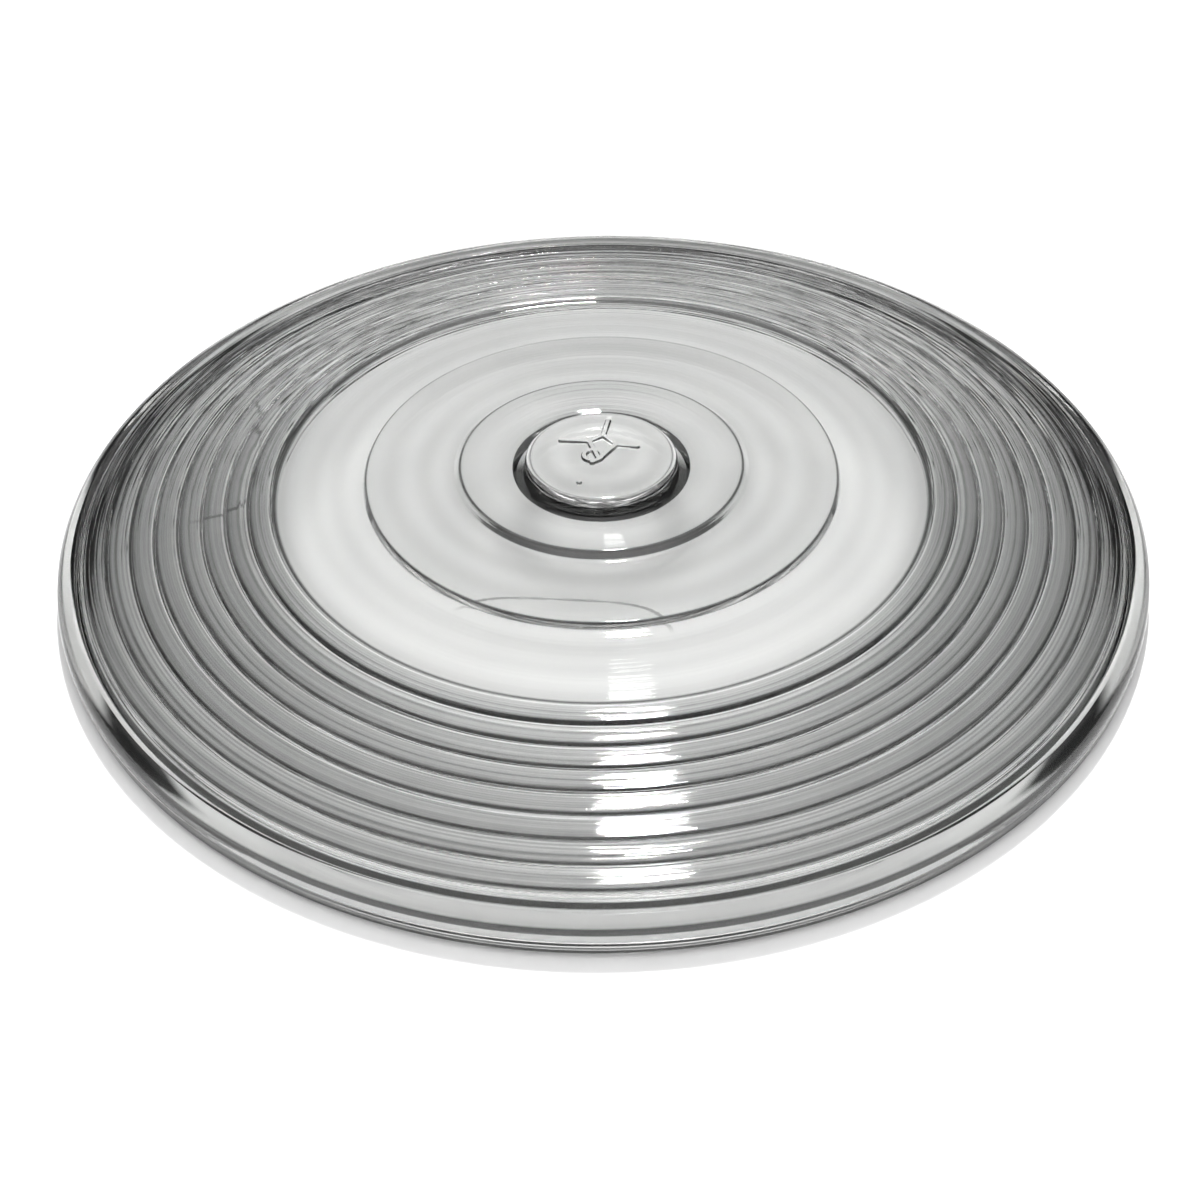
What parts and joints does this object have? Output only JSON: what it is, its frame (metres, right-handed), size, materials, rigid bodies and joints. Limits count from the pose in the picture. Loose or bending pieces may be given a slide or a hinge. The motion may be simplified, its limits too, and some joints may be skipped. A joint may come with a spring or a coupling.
{
  "type": "clearance light lens",
  "caption": "Round clear plastic lens: a shallow dome with a raised centre boss, concentric prism rings and a beaded rim over a flat seat.",
  "frame": {"origin": "centre of the flat seat under the rim, where the lens stands on its lamp base", "axes": "+Z along the axis of the round lens, out of its outer face"},
  "size_m": [0.1016, 0.1016, 0.0088],
  "materials": {
    "clear_plastic": "polished clear acrylic, as moulded"
  },
  "bodies": {
    "root": {"lens": "clear_plastic"}
  },
  "joints": []
}
